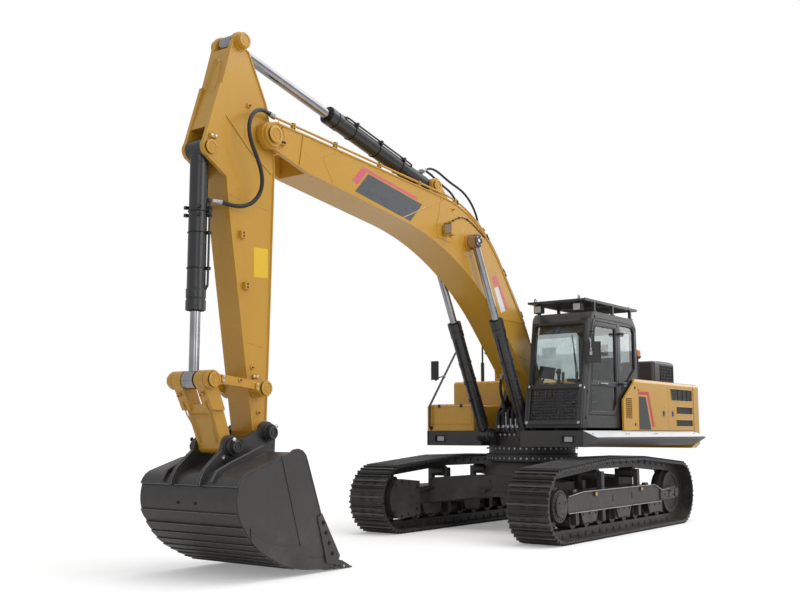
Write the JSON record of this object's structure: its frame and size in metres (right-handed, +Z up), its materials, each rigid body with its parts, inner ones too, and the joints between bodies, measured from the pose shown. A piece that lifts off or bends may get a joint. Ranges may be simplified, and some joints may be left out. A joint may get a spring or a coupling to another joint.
{
  "type": "crawler excavator",
  "caption": "Tracked excavator with a swinging house and cab, a bent boom, an arm and a digging bucket, worked by hydraulic cylinders.",
  "frame": {"origin": "ground level under the middle of the whole machine as stored", "axes": "+X forward along the boom and tracks, +Y towards the cab side, +Z up"},
  "size_m": [10.4348, 3.19, 5.7049],
  "materials": {
    "body_paint": "gloss ochre paint",
    "dark_paint": "satin charcoal paint",
    "undercarriage_paint": "satin dark paint",
    "track_steel": "worn dark steel",
    "bucket_paint": "satin dark paint",
    "cylinder_paint": "satin dark paint",
    "rod_chrome": "polished",
    "tinted_glass": "tinted",
    "seat_fabric": "woven charcoal",
    "console_plastic": "textured black",
    "hose_rubber": "black rubber"
  },
  "bodies": {
    "undercarriage": {"left_track": "track_steel", "right_track": "track_steel", "track_rollers": "undercarriage_paint", "track_frames": "undercarriage_paint", "final_drives": "undercarriage_paint", "idlers": "undercarriage_paint", "car_body": "undercarriage_paint", "swing_bearing_ring": "undercarriage_paint"},
    "house": {"swing_bearing_race": "undercarriage_paint", "deck": "dark_paint", "side_steps": "dark_paint", "counterweight": "body_paint", "quarter_panel": "body_paint", "top_panel": "body_paint", "intake_box": "dark_paint", "bulkheads": "dark_paint", "engine": "dark_paint", "fuel_tank": "body_paint", "toolbox": "body_paint", "handrails": "body_paint", "antenna": "console_plastic", "cab_frame": "dark_paint", "cab_mounts": "dark_paint", "cab_glass": "tinted_glass", "seat": "seat_fabric", "consoles": "console_plastic", "cab_guards": "dark_paint", "mirrors": "dark_paint", "house_pins": "dark_paint", "hose_manifold": "dark_paint", "left_foot_hose": "hose_rubber", "right_foot_hose": "hose_rubber"},
    "left_front_door": {"left_front_door": "body_paint"},
    "left_rear_door": {"left_rear_door": "body_paint"},
    "right_rear_door": {"right_rear_door": "body_paint"},
    "hood": {"engine_hood": "body_paint"},
    "cab_door": {"cab_door": "dark_paint", "cab_door_glass": "tinted_glass"},
    "boom": {"boom": "body_paint", "boom_pins": "body_paint", "boom_pipes": "body_paint", "left_bucket_hose": "hose_rubber", "right_bucket_hose": "hose_rubber", "left_arm_hose": "hose_rubber", "right_arm_hose": "hose_rubber"},
    "arm": {"arm": "body_paint", "arm_pins": "body_paint"},
    "bucket": {"bucket": "bucket_paint", "bucket_pins": "bucket_paint", "bucket_teeth": "bucket_paint"},
    "boom_barrels": {"boom_cylinder_barrels": "cylinder_paint"},
    "boom_rods": {"boom_cylinder_rods": "rod_chrome"},
    "arm_barrel": {"arm_cylinder_barrel": "cylinder_paint"},
    "arm_rod": {"arm_cylinder_rod": "rod_chrome"},
    "bucket_barrel": {"bucket_cylinder_barrel": "cylinder_paint"},
    "bucket_rod": {"bucket_cylinder_rod": "rod_chrome"},
    "side_links": {"side_links": "body_paint", "link_pins": "body_paint"},
    "bucket_link": {"bucket_link": "body_paint"}
  },
  "joints": [
    {"name": "swing", "type": "hinge", "parent": "undercarriage", "child": "house", "pos_m": [-1.7675, 0, 0], "axis": [0, 0, 1], "continuous": true},
    {"name": "boom", "type": "hinge", "parent": "house", "child": "boom", "pos_m": [-1.6675, 0, 2.02], "axis": [0, 1, 0], "range_deg": [-37, 60], "deforming": ["left_foot_hose", "right_foot_hose"]},
    {"name": "arm", "type": "hinge", "parent": "boom", "child": "arm", "pos_m": [4.3125, 0, 4.64], "axis": [0, -1, 0], "range_deg": [-30, 80], "deforming": ["left_bucket_hose", "right_bucket_hose"]},
    {"name": "bucket", "type": "hinge", "parent": "arm", "child": "bucket", "pos_m": [4.2825, 0, 1.43], "axis": [0, -1, 0], "range_deg": [-122, 44]},
    {"name": "boom_barrel_pivot", "type": "hinge", "parent": "house", "child": "boom_barrels", "pos_m": [-0.9775, 0, 1.4], "axis": [0, 1, 0], "range_deg": [-37.03, 60.05]},
    {"name": "boom_rod_slide", "type": "slide", "parent": "boom_barrels", "child": "boom_rods", "axis": [0.4552, 0, 0.8904], "range_m": [-0.9003, 0.5552]},
    {"name": "arm_barrel_pivot", "type": "hinge", "parent": "boom", "child": "arm_barrel", "pos_m": [1.0125, 0, 4.75], "axis": [0, -1, 0], "range_deg": [-1.73, 4.61], "deforming": ["left_arm_hose", "right_arm_hose"]},
    {"name": "arm_rod_slide", "type": "slide", "parent": "arm_barrel", "child": "arm_rod", "axis": [0.9746, 0, 0.2239], "range_m": [-1.3109, 0.4916]},
    {"name": "side_link_pivot", "type": "hinge", "parent": "arm", "child": "side_links", "pos_m": [4.3825, 0, 1.89], "axis": [0, -1, 0], "range_deg": [-91.96, 33.16]},
    {"name": "bucket_link_pivot", "type": "hinge", "parent": "side_links", "child": "bucket_link", "pos_m": [5.1125, 0, 1.955], "axis": [0, -1, 0], "range_deg": [-18.16, 50.35]},
    {"name": "bucket_barrel_pivot", "type": "hinge", "parent": "arm", "child": "bucket_barrel", "pos_m": [5.1125, 0, 4.34], "axis": [0, -1, 0], "range_deg": [-9.06, 3.27]},
    {"name": "bucket_rod_slide", "type": "slide", "parent": "bucket_barrel", "child": "bucket_rod", "axis": [0, 0, -1], "range_m": [-0.3451, 0.9569]},
    {"name": "left_front_door", "type": "hinge", "parent": "house", "child": "left_front_door", "pos_m": [-2.3855, 1.475, 1.8], "axis": [0, 0, -1], "range_deg": [0, 90]},
    {"name": "left_rear_door", "type": "hinge", "parent": "house", "child": "left_rear_door", "pos_m": [-4.6465, 1.475, 1.8], "axis": [0, 0, 1], "range_deg": [0, 90]},
    {"name": "right_rear_door", "type": "hinge", "parent": "house", "child": "right_rear_door", "pos_m": [-4.6465, -1.475, 1.8], "axis": [0, 0, -1], "range_deg": [0, 90]},
    {"name": "engine_hood", "type": "hinge", "parent": "house", "child": "hood", "pos_m": [-4.5115, 0, 2.262], "axis": [0, -1, 0], "range_deg": [0, 75]},
    {"name": "cab_door", "type": "hinge", "parent": "house", "child": "cab_door", "pos_m": [-1.8575, 1.505, 2.2], "axis": [0, 0, -1], "range_deg": [-160, 0]}
  ],
  "couplings": [
    {"joint": "boom_barrel_pivot", "follows": "boom", "ratio": 0.98119},
    {"joint": "boom_rod_slide", "follows": "boom", "m_per_rad": -0.84284},
    {"joint": "arm_barrel_pivot", "follows": "arm", "ratio": 0.054908},
    {"joint": "arm_rod_slide", "follows": "arm", "m_per_rad": -0.92044},
    {"joint": "side_link_pivot", "follows": "bucket", "ratio": 0.73896},
    {"joint": "bucket_link_pivot", "follows": "bucket", "ratio": -0.4046},
    {"joint": "bucket_barrel_pivot", "follows": "bucket", "ratio": 0.067512},
    {"joint": "bucket_rod_slide", "follows": "bucket", "m_per_rad": -0.44059}
  ]
}
